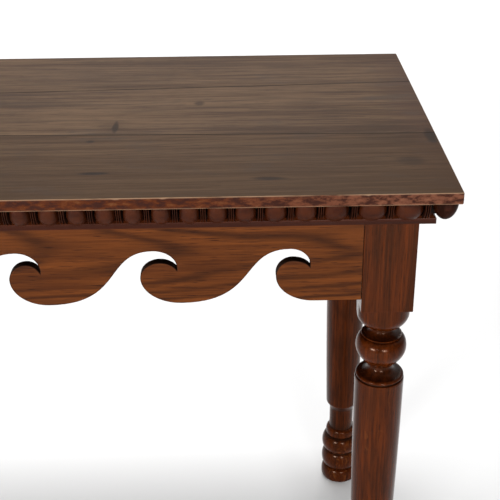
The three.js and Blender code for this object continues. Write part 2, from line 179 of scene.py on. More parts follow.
class LegSettings(bpy.types.PropertyGroup):
    """Sizes and colours of the turned legs."""

    arris: size("Arris", "Rounding of the square's corners", 1.3 * MM)
    block_drop: size("Block drop", "How far the square's corners reach below its shoulder", 2.7 * MM)
    turning_steps: count("Turning steps", "Facets round a leg", 72, 24)
    pale: colour("Pale grain", "Lightest streaks", "491d05")
    brown: colour("Brown grain", "Main colour", "270d02")
    # the hollows get their painted shade from a colour of their own in leg_finish, not from this one
    dark: colour("Dark grain", "Dark streaks and polish in the hollows", "0e0302")


class FrameSettings(bpy.types.PropertyGroup):
    """Finishes of the parts hidden under the top."""

    wood: colour("Plain wood", "Bearers, buttons and tongues", "8f6f4b")
    wood_dark: colour("Plain wood, dark", "Their darker grain", "5d432a")
    steel: colour("Steel", "Old screws", "6b6762")
    rust: colour("Rust", "Rust on the screws", "4a2b1b")


class StageSettings(bpy.types.PropertyGroup):
    """Camera, lamps and floor."""

    lens: bpy.props.FloatProperty(
        name="Lens", description="Focal length in millimetres", default=78.16, min=10.0
    )
    camera_at: bpy.props.FloatVectorProperty(
        name="Camera",
        description="Where the camera stands",
        default=(0.4389, -1.6525, 1.5199),
        subtype="TRANSLATION",
    )
    yaw: angle("Yaw", "Turn to the right", 1.34)
    pitch: angle("Pitch", "Tilt down", 27.26)
    roll: angle("Roll", "Lean to the right", 0.38)
    top_lamp: watts("Top lamp", "broad lamp overhead", 150.0)
    left_box: watts("Left softbox", "small softbox at the left", 52.0)
    right_box: watts("Right softbox", "small softbox at the right", 44.0)
    cove_lamp: watts("Cove lamp", "broad lamp behind the table", 250.0)
    surround: bpy.props.FloatProperty(
        name="Surround", description="Strength of the pale room", default=0.64, min=0.0, max=10.0
    )
    floor: colour("Floor", "Colour of the floor", "dadada")


# ---- node trees ------------------------------------------------------------------------
class Flow:
    """One socket on its way through a node tree; arithmetic on it adds Math nodes."""

    def __init__(self, bench, socket):
        self.bench = bench
        self.socket = socket

    def also(self, output):
        """Another output of the same node."""
        return Flow(self.bench, self.socket.node.outputs[output])

    def __abs__(self):
        return self.bench.math("ABSOLUTE", self)

    def root(self):
        return self.bench.math("SQRT", self)

    def least(self, other):
        return self.bench.math("MINIMUM", self, other)

    def most(self, other):
        return self.bench.math("MAXIMUM", self, other)

    def limited(self):
        """Kept between 0 and 1."""
        return self.bench.math("ADD", self, 0.0, clamp=True)

    def swing(self):
        """Sine, brought to between 0 and 1."""
        return self.bench.math("SINE", self) * 0.5 + 0.5

    def between(self, low, high):
        """0 below low, 1 above high, and a smooth step from one to the other."""
        settings = {"interpolation_type": "SMOOTHSTEP"}
        return self.bench.node("ShaderNodeMapRange", settings, {0: self, 1: low, 2: high})


def overload(symbol, operation):
    """Gives Flow an operator and its reflected form."""
    setattr(Flow, f"__{symbol}__", lambda self, other: self.bench.math(operation, self, other))
    setattr(Flow, f"__r{symbol}__", lambda self, other: self.bench.math(operation, other, self))


overload("add", "ADD")
overload("sub", "SUBTRACT")
overload("mul", "MULTIPLY")
overload("truediv", "DIVIDE")
overload("pow", "POWER")


class Bench:
    """Where a tree's nodes are made. Every node comes from node()."""

    def __init__(self, tree):
        self.tree = tree

    def node(self, kind, settings=(), sockets=(), output=0):
        made = self.tree.nodes.new(kind)
        for key, value in dict(settings).items():
            setattr(made, key, value)
        for key, value in dict(sockets).items():
            for one in value if isinstance(value, list) else [value]:
                if isinstance(one, Flow):
                    self.tree.links.new(one.socket, made.inputs[key])
                else:
                    made.inputs[key].default_value = one
        return Flow(self, made.outputs[output]) if made.outputs else made

    def math(self, operation, *terms, clamp=False):
        settings = {"operation": operation, "use_clamp": clamp}
        return self.node("ShaderNodeMath", settings, dict(enumerate(terms)))

    def attribute(self, name):
        """A number painted on the mesh."""
        return self.node("ShaderNodeAttribute", {"attribute_name": name}, output="Fac")

    def position(self):
        """Object coordinates as three separate numbers."""
        place = self.node("ShaderNodeTexCoord", output="Object")
        x = self.node("ShaderNodeSeparateXYZ", {}, {0: place})
        return x, x.also("Y"), x.also("Z")

    def vector(self, x, y, z):
        return self.node("ShaderNodeCombineXYZ", {}, {0: x, 1: y, 2: z})

    def cloud(self, place, scale=1.0, detail=3.0, rough=0.55, bend=0.0):
        sockets = {"Vector": place, "Scale": scale, "Detail": detail, "Roughness": rough}
        return self.node("ShaderNodeTexNoise", {"noise_dimensions": "3D"}, {**sockets, "Distortion": bend})

    def mix(self, amount, first, second):
        """Blends two colours."""
        settings = {"data_type": "RGBA", "clamp_factor": True}
        return self.node("ShaderNodeMix", settings, {0: amount, 6: full(first), 7: full(second)}, output=2)

    def coats(self, base, *layers):
        """Colours laid one over another; each layer is an amount and its colour."""
        for amount, tone in layers:
            base = self.mix(amount, base, tone)
        return base

    def bump(self, height, strength, distance):
        sockets = {"Strength": strength, "Distance": distance, "Height": height}
        return self.node("ShaderNodeBump", {}, sockets)


def full(tone):
    """A colour as the four numbers that a socket takes."""
    return tone if isinstance(tone, Flow) else (*tone[:3], 1.0)


def new_finish(name):
    material = bpy.data.materials.new(name)
    material.use_nodes = True
    material.node_tree.nodes.clear()
    return material, Bench(material.node_tree)


def close_finish(bench, base, rough, normal, **constants):
    """Ends a material in one Principled shader. Constants are set on its own sockets."""
    sockets = {"Base Color": base, "Roughness": rough, "Normal": normal}
    sockets.update({key.replace("_", " "): value for key, value in constants.items()})
    shader = bench.node("ShaderNodeBsdfPrincipled", {}, sockets)
    bench.node("ShaderNodeOutputMaterial", {}, {"Surface": shader})


# ---- wood grain ------------------------------------------------------------------------
class Grain:
    """Fields of one board: u runs along its fibres, v and w across them."""

    def __init__(self, bench, along, tilt, depth, ring_gap, heart=0.0):
        self.bench = bench
        self.x, self.y, self.z = x, y, z = bench.position()
        self.board = board = bench.attribute("board")
        u, v, w = {"X": (x, y, z), "Y": (y, z, x), "Z": (z, x, y), "XZ": (x, z, y)}[along]
        self.u, self.v, self.w = u + board * 1.7, v + board * 0.31, w + board * 0.23
        slow = self.field(1.6, 7.0, detail=2.0) - 0.5
        wander = self.field(4.5, 16.0, detail=2.0) - 0.5
        heart_to_face = self.u * tilt + depth + slow * 0.09
        aside = v - heart + slow * 0.06 + wander * 0.014
        radius = (aside * aside + heart_to_face * heart_to_face).root()
        self.rings = (radius * (math.tau / ring_gap)).swing()
        self.fibre = self.field(9.0, 260.0, detail=4.0, rough=0.65)
        self.streak = self.field(2.4, 60.0, detail=4.0, rough=0.6)
        self.patch = self.field(3.0, 6.5)
        self.pores = self.field(34.0, 820.0, detail=1.0).between(0.6, 0.72)

    def field(self, along, across, detail=3.0, rough=0.55, bend=0.0):
        place = self.bench.vector(self.u * along, self.v * across, self.w * across)
        return self.bench.cloud(place, 1.0, detail, rough, bend)

    def rubbed(self, along, across, low, high):
        """The wear painted on the mesh, broken up by a field."""
        return self.bench.attribute("wear") * self.field(along, across).between(low, high)

    def blot(self, x, y, reach_x, reach_y):
        """A mark on the top's face: 1 in its middle, 0 outside it."""
        dx, dy = (self.x - x) / reach_x, (self.y - y) / reach_y
        fray = (self.field(22.0, 60.0) - 0.5) * 0.9
        return 1 - ((dx * dx + dy * dy).root() + fray).between(0.35, 1.0)


def top_finish(own):
    """Dry, weathered oak: grey-brown face, darker ends, redder edges, rubbed arrises, and painted shade on
    the front board.
    """
    finish, bench = new_finish("Weathered top oak")
    grain = Grain(bench, "X", tilt=0.05, depth=0.11, ring_gap=0.014, heart=-0.02)
    tone = (grain.streak * 0.9 + grain.fibre + grain.patch * 0.5 - 0.78).between(0.16, 0.7)
    lines = (grain.rings**2.2 * grain.streak).between(0.2, 0.75)
    stain = grain.field(6.0, 14.0, detail=6.0, rough=0.7).between(0.53, 0.7)
    place = grain.x + (grain.patch - 0.5) * 0.12
    ends = place.between(HALF_LENGTH - 0.09, HALF_LENGTH) + place.between(-HALF_LENGTH + 0.07, -HALF_LENGTH)
    # painted shade: the front board darker, most towards the top's front edge
    front_board_shade = (1 - grain.board.between(0.2, 0.4)) * (0.62 - grain.y.between(-HALF_DEPTH, -0.12) * 0.2)
    knots = grain.blot(0.267, -0.047, 0.006, 0.036) * 0.75
    for x, y, reach_x, reach_y, depth in (
        (0.234, -0.109, 0.009, 0.007, 0.8),
        (0.397, 0.055, 0.012, 0.016, 0.6),
        (0.251, -0.232, 0.03, 0.007, 0.9),
        (0.501, -0.259, 0.034, 0.008, 0.8),
        (0.752, -0.105, 0.012, 0.04, 0.8),
        (0.706, -0.203, 0.03, 0.02, 0.45),
        (0.69, -0.09, 0.07, 0.07, 0.25),
        (-0.31, 0.09, 0.02, 0.008, 0.7),
        (-0.52, -0.17, 0.03, 0.03, 0.4),
    ):
        knots = knots.most(grain.blot(x, y, reach_x, reach_y) * depth)
    face = bench.coats(
        own.brown,
        (tone, own.pale),
        (lines * 0.42, own.dark),
        (grain.pores * 0.7, own.dark),
        (stain * 0.42, own.dark),
        (ends.limited() * 0.55, linear("3d2920")),
        (front_board_shade, linear("38240f")),
        (knots, linear("1f1611")),
    )
    mottle = grain.field(60.0, 150.0, detail=5.0, rough=0.7)
    patches = mottle.between(0.4, 0.6)
    side = bench.coats(
        linear("2b120a"),
        (patches, own.edge),
        (mottle.between(0.56, 0.74) * 0.55, own.edge_pale),
        (grain.x.between(0.35, 0.72) * 0.45 * patches, linear("724b3b")),
    )
    upper = grain.z.between(UNDER_TOP + 9 * MM, TOP_Z)
    joint = bench.attribute("hollow")
    base = bench.coats(
        face,
        (bench.attribute("edge").between(0.25, 0.75), side),
        (grain.rubbed(14.0, 60.0, 0.28, 0.5) * (0.55 + upper * 0.4) * (1 - joint), linear("8c7058")),
        (joint * 0.8, linear("1f1610")),
    )
    rough = 0.5 + grain.fibre * 0.16 + grain.patch * 0.1 - stain * 0.08
    height = grain.fibre * 0.5 + grain.rings * 0.2 + grain.patch * 0.5 - grain.pores * 0.5 - knots * 0.6
    close_finish(bench, base, rough, bench.bump(height, 0.35, 0.6 * MM), Specular_IOR_Level=0.06)
    return finish


def moulding_finish(own, along):
    """Dark polished oak, black in the hollows with painted shade and dirt, and pale where it sticks out."""
    finish, bench = new_finish("Moulding oak along " + along)
    grain = Grain(bench, along, tilt=0.05, depth=0.04, ring_gap=0.008, heart=UNDER_TOP)
    deep = bench.attribute("hollow")
    base = bench.coats(
        linear("1c0a04"),
        ((grain.streak + grain.fibre * 0.4 - 0.2).between(0.2, 0.8), own.belly),
        (grain.pores * 0.4, own.hollow),
        (grain.rubbed(30.0, 60.0, 0.32, 0.6) * 0.7, own.worn),
        # painted shade with dirt in the carving's recesses, from the hollow mark
        (deep * 0.95, own.hollow),
    )
    rough = 0.3 + grain.fibre * 0.16 + deep * 0.3
    height = grain.fibre * 0.5 + grain.patch * 0.6 - grain.pores * 0.4
    close_finish(bench, base, rough, bench.bump(height, 0.3, 0.5 * MM), Specular_IOR_Level=0.07)
    return finish


def apron_finish(own, along):
    """Warm plain-sawn oak: flame figure, dark pores, saw cuts darkened with painted shade."""
    finish, bench = new_finish("Apron oak along " + along)
    grain = Grain(bench, along, tilt=0.07, depth=0.06, ring_gap=0.011, heart=APRON_FOOT + 0.1)
    sawn = bench.attribute("sawn").between(0.3, 0.8)
    base = bench.coats(
        own.brown,
        ((grain.streak * 0.9 + grain.fibre * 0.9 + grain.patch * 0.5 - 0.7).between(0.14, 0.72), own.pale),
        (grain.rings**2.6 * grain.streak.between(0.3, 0.58) * 0.7, own.dark),
        (grain.pores * 0.8, own.dark),
        (grain.field(1.8, 34.0, detail=4.0, rough=0.6).between(0.58, 0.74) * 0.55, own.dark),
        # painted shade on the cut faces
        (sawn * 0.9, own.sawn),
        (grain.rubbed(20.0, 70.0, 0.45, 0.65) * 0.5, own.pale),
    )
    rough = 0.36 + grain.fibre * 0.2 + sawn * 0.25
    height = grain.fibre * 0.5 + grain.rings * 0.25 - grain.pores * 0.6
    close_finish(bench, base, rough, bench.bump(height, 0.28, 0.5 * MM), Specular_IOR_Level=0.05)
    return finish


def leg_finish(own):
    """French-polished oak: upright streaks, silver flecks on the square, hollows darkened with painted
    shade.
    """
    finish, bench = new_finish("Polished leg oak")
    grain = Grain(bench, "Z", tilt=0.03, depth=0.05, ring_gap=0.012, heart=0.62)
    fleck = grain.field(34.0, 90.0, detail=2.0, rough=0.5, bend=1.8).between(0.585, 0.62)
    deep = bench.attribute("hollow")
    base = bench.coats(
        own.brown,
        ((grain.streak * 0.8 + grain.fibre + grain.patch * 0.3 - 0.56).between(0.2, 0.75), own.pale),
        (grain.rings**2.0 * grain.streak.between(0.3, 0.6) * 0.35, own.dark),
        (grain.pores * 0.75, own.dark),
        (fleck * grain.patch.between(0.42, 0.6) * 0.6, linear("633516")),
        # painted shade in the grooves and hollows
        (deep * 0.8, linear("120805")),
        (grain.rubbed(40.0, 60.0, 0.4, 0.64) * 0.45, own.pale),
    )
    rough = 0.15 + grain.fibre * 0.1 + deep.between(0.6, 1.0) * 0.4
    height = grain.fibre * 0.5 + grain.rings * 0.2 - grain.pores * 0.5
    warm = {"Specular_IOR_Level": 0.13, "Specular_Tint": (1.0, 0.66, 0.48, 1.0)}
    close_finish(bench, base, rough, bench.bump(height, 0.2, 0.4 * MM), **warm)
    return finish


def frame_finish(own):
    """Unpolished wood from under the top, dusty and dry."""
    finish, bench = new_finish("Plain frame wood")
    grain = Grain(bench, "Y", tilt=0.06, depth=0.05, ring_gap=0.006)
    base = bench.coats(
        own.wood_dark,
        ((grain.streak + grain.fibre * 0.5 - 0.25).between(0.1, 0.9), own.wood),
        (grain.rings * 0.35, own.wood_dark),
        (grain.pores * 0.3, linear("2c1d10")),
    )
    normal = bench.bump(grain.fibre - grain.pores, 0.4, 0.5 * MM)
    close_finish(bench, base, 0.66 + grain.fibre * 0.2, normal, Specular_IOR_Level=0.3)
    return finish


def steel_finish(own):
    """Old screw heads, dulled and touched with rust."""
    finish, bench = new_finish("Aged steel")
    x, y, z = bench.position()
    spots = bench.cloud(bench.vector(x, y, z), 900.0, 4.0, 0.7).between(0.45, 0.65)
    scratch = bench.cloud(bench.vector(x * 900.0, y * 4000.0, z * 900.0), 1.0, 2.0)
    base = bench.coats(own.steel, (spots, own.rust), (scratch.between(0.4, 0.8) * 0.3, linear("9b9690")))
    normal = bench.bump(scratch + spots, 0.3, 0.1 * MM)
    close_finish(bench, base, 0.36 + spots * 0.4, normal, Metallic=0.95 - spots * 0.7)
    return finish


# ---- meshes ----------------------------------------------------------------------------
def solid(name, rings, finish=None, board=0.0, labels=("wear", "hollow")):
    """A closed mesh lofted through rings of equal count, its two end rings capped.

    Each point is its x, y and z and then a number for each label, painted there for the finishes."""
    around = len(rings[0])
    points = [point for ring in rings for point in ring]
    faces = []
    for row in range(len(rings) - 1):
        for step in range(around):
            a, b = row * around + step, row * around + (step + 1) % around
            faces.append((a, b, b + around, a + around))
    faces += [tuple(reversed(range(around))), tuple(range(len(points) - around, len(points)))]
    mesh = bpy.data.meshes.new(name)
    mesh.from_pydata([point[:3] for point in points], [], faces)
    work = bmesh.new()
    work.from_mesh(mesh)
    bmesh.ops.recalc_face_normals(work, faces=work.faces)
    bmesh.ops.triangulate(work, faces=[face for face in work.faces if len(face.verts) > 4])
    for face in work.faces:
        face.smooth = True
    for edge in work.edges:
        edge.smooth = edge.calc_face_angle(0.0) < SOFT_ANGLE
    work.to_mesh(mesh)
    work.free()
    if finish:
        mesh.materials.append(finish)
    paint(mesh, "board", [board] * len(points))
    for place, label in enumerate(labels, 3):
        paint(mesh, label, [point[place] for point in points])
    return mesh


def paint(mesh, label, values):
    """Stores one number per vertex, for the finishes to read."""
    layer = mesh.attributes.new(label, "FLOAT", "POINT")
    layer.data.foreach_set("value", [float(value) for value in values])


def put(name, data):
    """A new object in the scene."""
    made = bpy.data.objects.new(name, data)
    bpy.context.scene.collection.objects.link(made)
    return made


def joined(name, meshes):
    """One mesh holding several closed shells."""
    work = bmesh.new()
    for mesh in meshes:
        work.from_mesh(mesh)
    whole = bpy.data.meshes.new(name)
    work.to_mesh(whole)
    work.free()
    for finish in meshes[0].materials:
        whole.materials.append(finish)
    for mesh in meshes:
        bpy.data.meshes.remove(mesh)
    return whole


def set_down(name, mesh, slot, *nodes):
    """Puts a finished mesh in the scene, riding on the table and standing for its CAD nodes."""
    piece = put(name, mesh)
    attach(piece, BODY)
    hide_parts(*nodes)


def waver(x, y=0.0, z=0.0):
    """Smooth noise from 0 to 1 that is the same on every run."""
    return 0.5 + 0.5 * noise.noise(Vector((x, y, z)))


def arc(middle, reach_x, reach_y, start, end, steps):
    """Points along part of an ellipse."""
    turns = [start + (end - start) * step / steps for step in range(steps + 1)]
    return [(middle[0] + reach_x * math.cos(turn), middle[1] + reach_y * math.sin(turn)) for turn in turns]


def corner_arc(x, y, radius, start):
    """Quarter round about (x, y), from the angle start, counter-clockwise."""
    return arc((x, y), radius, radius, start, start + QUARTER, 4)


# ---- the top ---------------------------------------------------------------------------
def joint_at(node, x, far):
    """Y of a board's far or near long edge at this X, read from the frame's mesh."""
    ends = {-1: [], 1: []}
    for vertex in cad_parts[node].data.vertices:
        if abs(abs(vertex.co.x) - HALF_LENGTH) < MM:
            ends[1 if vertex.co.x > 0 else -1].append(vertex.co.y)
    pick = max if far else min
    left, right = pick(ends[-1]), pick(ends[1])
    return left + (right - left) * (x + HALF_LENGTH) / (2 * HALF_LENGTH)


def board_loop(x, edges, inset, radii, joints, ripple, seed):
    """A board's section at x: its edges near and far, shrunk by inset at the rounded ends."""
    low, high = UNDER_TOP + inset, TOP_Z - inset
    near, far = edges[0] + inset, edges[1] - inset
    near_top, far_top, under = radii
    face_steps, foot_steps = 14, 4
    start, end = far - far_top - MM, near + near_top + MM

    def side(y, top):
        """An edge's upright part, from its upper arris down."""
        return [(y, high - top - MM), (y, (low + high) / 2), (y, low + under + MM)]

    face = [(start + (end - start) * step / face_steps, high) for step in range(face_steps + 1)]
    foot = [(near + (far - near) * step / foot_steps, low) for step in range(1, foot_steps)]
    near_under = corner_arc(near + under, low + under, under, math.pi)
    far_under = corner_arc(far - under, low + under, under, -QUARTER)
    points = []
    for part, deep in (
        (corner_arc(far - far_top, high - far_top, far_top, 0.0), joints[1]),
        (face, 0.0),
        (corner_arc(near + near_top, high - near_top, near_top, QUARTER) + side(near, near_top), joints[0]),
        (near_under + foot + far_under, 0.0),
        (side(far, far_top)[::-1], joints[1]),
    ):
        for y, z in part:
            if z > high - 0.2 * MM:
                z -= ripple * (0.7 * waver(x * 2.2, y * 7, seed) + 0.3 * waver(x * 11, y * 23, seed))
            points.append((x, y, z, deep))
    return points


def end_stations(radius, spacing):
    """Places along the top with the inset each section needs for rounded ends."""
    near_end = corner_arc(-HALF_LENGTH + radius, radius, radius, math.pi)
    flat = HALF_LENGTH - radius - MM
    steps = round(2 * flat / spacing)
    middle = [(-flat + step * 2 * flat / steps, 0.0) for step in range(steps + 1)]
    return near_end + middle + [(-x, inset) for x, inset in reversed(near_end)]


def make_board(name, finish, own, board):
    """One plank, with a worn and knocked arris where its edge is the top's own edge."""
    knocks = random.Random(41)
    placed_nick, nick_reach, nick_depth = 0.591, 3 * MM, 1.4 * MM
    nicks = [placed_nick] + [knocks.uniform(-HALF_LENGTH, HALF_LENGTH) for _ in range(own.nicks)]
    outer_near, outer_far = name.endswith("front"), name.endswith("rear")
    joints = float(not outer_near), float(not outer_far)
    rings = []
    for x, inset in end_stations(radius=1.9 * MM, spacing=4 * MM):
        edges = joint_at(name, x, False), joint_at(name, x, True)
        rubbed = own.front_arris * (0.85 + 0.3 * waver(x * 9, board * 9))
        knock = sum(math.exp(-(((x - nick) / nick_reach) ** 2)) for nick in nicks)
        radii = (
            rubbed + nick_depth * min(1.0, knock) if outer_near else own.joint_arris,
            rubbed if outer_far else own.joint_arris,
            own.under_arris,
        )
        rings.append(board_loop(x, edges, inset, radii, joints, own.ripple, board * 7))
    plank = solid(name, rings, finish, board, ["hollow"])
    leans = [abs(vertex.normal.z) for vertex in plank.vertices]
    paint(plank, "edge", [1 - lean for lean in leans])
    paint(plank, "wear", [min(1.0, 4.2 * lean * (1 - lean)) if lean < 0.985 else 0.0 for lean in leans])
    return plank


class TABLE_OT_top(bpy.types.Operator):
    """Lays the three boards of the top"""

    bl_idname = "table.top"
    bl_label = "Lay the top"

    def execute(self, context):
        own = context.scene.table_top
        finish = top_finish(own)
        for board, where in ((0.15, "front"), (0.5, "middle"), (0.85, "rear")):
            node = "top_board_" + where
            set_down("plank_" + where, make_board(node, finish, own, board), "top_oak", node)
        return {"FINISHED"}


# ---- the moulding ----------------------------------------------------------------------
def ovolo_inset(own, height):
    """Top's edge to the moulding's face, at a height above the fillet."""
    drop = 1 - min(1.0, height / own.carved_height)
    return own.egg_inset + (own.fillet_inset - own.egg_inset) * (1 - math.sqrt(max(0.0, 1 - drop * drop)))


def egg_share(own, height):
    """How wide an egg is at a height above the fillet, as a share of its full width."""
    widest = 0.56 * own.carved_height
    if height < widest:
        return math.sqrt(max(0.0, 1 - ((widest - height) / widest) ** 2))
    return 1 - 0.1 * ((height - widest) / (own.carved_height - widest)) ** 2


def egg_heights(own, levels):
    """Heights above the fillet, closer together towards the egg's point."""
    turns = [QUARTER * (level + 0.35) / (levels + 0.35) for level in range(levels + 1)]
    return [own.carved_height * (1 - math.cos(turn)) for turn in turns]


def fuller(value, power=0.7):
    """Bulges a circle towards a square."""
    return math.copysign(abs(value) ** power, value)


def egg_mesh(own, levels=10, around=18):
    """One egg, its front to -Y, drawn from the top's edge at Y = 0 and its underside at Z = 0."""
    rings = []
    for height in egg_heights(own, levels):
        half = own.egg_width / 2 * egg_share(own, height)
        front = ovolo_inset(own, height)
        ring = []
        for step in range(around):
            turn = math.tau * step / around
            side, out = fuller(math.cos(turn)), fuller(math.sin(turn))
            deep = (own.ground_inset - front) if out > 0 else 2 * MM
            place = half * side, own.ground_inset - deep * out, height - own.carved_height - FIT
            rubbed = max(0.0, out) ** 3 * (0.25 + 0.75 * height / own.carved_height)
            # last number: painted shade on the egg's sides and back, where it meets the ground
            ring.append((*place, rubbed, max(0.0, 1 - max(0.0, out) * 2.6)))
        rings.append(ring)
    return solid("egg", rings)


def rib_mesh(own, lean, width_top, width_foot, sunk, levels=7):
    """One upright rib between two eggs. lean says how far it moves aside as the eggs narrow."""
    rings = []
    for level in range(levels + 1):
        height = own.carved_height * (0.08 + 0.92 * level / levels)
        slack = own.egg_width / 2 * (1 - egg_share(own, height))
        centre = lean * (1 + 0.09 * slack / MM)
        half = (width_foot + (width_top - width_foot) * level / levels) / 2
        front, back = ovolo_inset(own, height) + sunk, own.ground_inset + MM
        # last number: painted shade, deepest at the rib's back
        half_ring = [(1, back, 0, 1), (1, front + 0.9 * MM, 0.3, 0.5), (0.5, front, 0.6, 0.1)]
        ring = [(-aside, *rest) for aside, *rest in half_ring] + half_ring[::-1]
        z = height - own.carved_height - FIT
        rings.append([(centre + half * aside, y, z, worn, deep) for aside, y, worn, deep in ring])
    return solid("rib", rings)


def dart_mesh(own):
    """The dart and the two rims that hold the eggs beside it."""
    dart = rib_mesh(own, 0.0, 1.6 * MM, 1.1 * MM, 3.0 * MM)
    aside = own.dart_width * 0.38
    rims = [rib_mesh(own, lean, 1.3 * MM, 1.2 * MM, 3.8 * MM) for lean in (-aside, aside)]
    return joined("dart", [dart, *rims])


def corner_egg_mesh(own, levels=12, around=32):
    """The round egg that covers a mitre, about its own upright axis."""
    rings = []
    for level in range(levels + 1):
        turn = QUARTER * (level + 0.3) / (levels + 0.3)
        height = own.corner_lift + (own.carved_height - own.corner_lift) * (1 - math.cos(turn))
        radius = own.corner_radius * math.sin(turn)
        circle = arc((0, 0), radius, radius, 0.0, math.tau, around)[:-1]
        share_up = level / levels
        z = height - own.carved_height - FIT
        # last number: painted shade, growing towards the egg's lower tip; the wear before it grows towards
        # its top
        rings.append([(x, y, z, 0.5 * share_up, 0.5 * (1 - share_up)) for x, y in circle])
    return solid("corner_egg", rings)


def ground_mesh(own, half_run, finish):
    """The length behind the carving: sunk ground and plain fillet, mitred at both ends."""
    back = (HALF_DEPTH - APRON_FACE) - FIT
    foot = -own.carved_height - own.fillet_height
    shelf, face = -own.carved_height, own.fillet_inset
    # the hollow column paints shade into the sunk ground and onto the underside
    section = [  # inset, height, wear, hollow
        (back, -FIT, 0, 1),
        (own.ground_inset, -FIT, 0, 1),
        (own.ground_inset, -0.6 * own.carved_height, 0, 1),
        (own.ground_inset, shelf + 7 * MM, 0, 0.9),
        (own.ground_inset - 0.7 * MM, shelf + 5 * MM, 0.5, 0.3),
        (face + 3 * MM, shelf + 2.2 * MM, 0.8, 0),
        (face + 1.4 * MM, shelf + 0.7 * MM, 0.9, 0),
        (face + 0.5 * MM, shelf, 1, 0),
        (face + 0.15 * MM, shelf - 0.15 * MM, 1, 0),
        (face, shelf - 0.7 * MM, 0.7, 0),
        (face, shelf - 2.2 * MM, 0.1, 0),
        (face, foot + 1.8 * MM, 0.0, 0),
        (face, foot + 0.7 * MM, 0.5, 0),
        (face + 0.2 * MM, foot + 0.2 * MM, 0.9, 0),
        (face + 0.8 * MM, foot, 0.3, 0.3),
        (back, foot, 0, 0.5),
    ]
    flat, spacing = half_run - back - 2 * MM, 9 * MM
    steps = round(2 * flat / spacing)
    rings = []
    for station in range(-1, steps + 2):
        at_end = station < 0 or station > steps
        ring = []
        for inset, height, worn, deep in section:
            x, rub = -flat + 2 * flat * station / steps, 0.0
            if at_end:
                x = math.copysign(half_run - inset - FIT, x)
            elif face <= inset < face + 1.5 * MM:
                rub = 0.35 * MM * waver(x * 13, inset * 90)
            ring.append((x, inset + rub, height, worn, deep))
        rings.append(ring)
    return solid("moulding ground", rings, finish)


# inputs of the run's node tree that are settings of the same name
RUN_SIZES = ("Corner inset", "Wide extra", "Next extra", "Egg width", "Dart width")


def egg_run_tree():
    """Geometry Nodes: a run of eggs, darts between them and an egg on each mitre."""
    tree = bpy.data.node_groups.new("Egg and dart run", "GeometryNodeTree")
    for label, kind in (
        ("Ground", "NodeSocketGeometry"),
        ("Egg", "NodeSocketObject"),
        ("Dart", "NodeSocketObject"),
        ("Corner egg", "NodeSocketObject"),
        ("Finish", "NodeSocketMaterial"),
        ("Steps", "NodeSocketInt"),
        ("Half run", "NodeSocketFloat"),
        *((label, "NodeSocketFloat") for label in RUN_SIZES),
    ):
        tree.interface.new_socket(label, in_out="INPUT", socket_type=kind)
    tree.interface.new_socket("Geometry", in_out="OUTPUT", socket_type="NodeSocketGeometry")
    bench = Bench(tree)
    given = bench.node("NodeGroupInput", output="Ground")
    steps, corner = given.also("Steps"), given.also("Half run") - given.also("Corner inset")
    wide, after = given.also("Wide extra"), given.also("Next extra")
    pitch = (corner - wide * 3.0 - after * 3.0) / steps

    def reach(step):
        """Distance from the corner egg after so many steps."""
        return pitch * step + wide * step.least(3.0) + after * (step - 3.0).most(0.0).least(3.0)

    def shape(source):
        return bench.node("GeometryNodeObjectInfo", {}, {"Object": given.also(source)}, output="Geometry")

    def row(number, shift, source, keep_width):
        """Copies of one piece along the run; an egg is stretched to fill its step."""
        from_middle = bench.node("GeometryNodeInputIndex") + shift - steps
        step = steps - abs(from_middle)
        x = bench.math("SIGN", from_middle) * (corner - reach(step))
        gap = reach(step + 0.5) - reach(step - 0.5)
        stretch = 1.0 if keep_width else (gap - given.also("Dart width")) / given.also("Egg width")
        line = bench.node("GeometryNodeMeshLine", {"mode": "OFFSET"}, {"Count": number})
        places = {"Geometry": line, "Position": bench.vector(x, 0.0, 0.0)}
        sockets = {
            "Points": bench.node("GeometryNodeSetPosition", {}, places),
            "Selection": bench.math("GREATER_THAN", step, 0.25),
            "Instance": shape(source),
            "Scale": bench.vector(stretch, 1.0, 1.0),
        }
        return bench.node("GeometryNodeInstanceOnPoints", {}, sockets)

    def corner_piece(side):
        place = bench.vector(corner * side, given.also("Corner inset"), 0.0)
        moved = {"Geometry": shape("Corner egg"), "Translation": place}
        return bench.node("GeometryNodeTransform", {}, moved)

    eggs = row(steps * 2.0 + 1.0, 0.0, "Egg", False)
    darts = row(steps * 2.0, 0.5, "Dart", True)
    parts = [given, eggs, darts, corner_piece(1.0), corner_piece(-1.0)]
    whole = bench.node("GeometryNodeJoinGeometry", {}, {"Geometry": parts})
    plain = bench.node("GeometryNodeRealizeInstances", {}, {"Geometry": whole})
    shown = bench.node("GeometryNodeSetMaterial", {}, {"Geometry": plain, "Material": given.also("Finish")})
    bench.node("NodeGroupOutput", {}, {"Geometry": shown})
    return tree


def grow(name, mesh, tree, values):
    """Runs a node tree on a mesh and returns the plain mesh it makes."""
    piece = put(name, mesh)
    modifier = piece.modifiers.new(tree.name, "NODES")
    modifier.node_group = tree
    for item in tree.interface.items_tree:
        if item.item_type == "SOCKET" and item.in_out == "INPUT" and item.name in values:
            modifier[item.identifier] = values[item.name]
    bpy.context.view_layer.update()
    graph = bpy.context.evaluated_depsgraph_get()
    grown = piece.evaluated_get(graph)
    made = bpy.data.meshes.new_from_object(grown, preserve_all_data_layers=True, depsgraph=graph)
    made.name = name
    piece.modifiers.clear()
    bpy.data.objects.remove(piece)
    return made


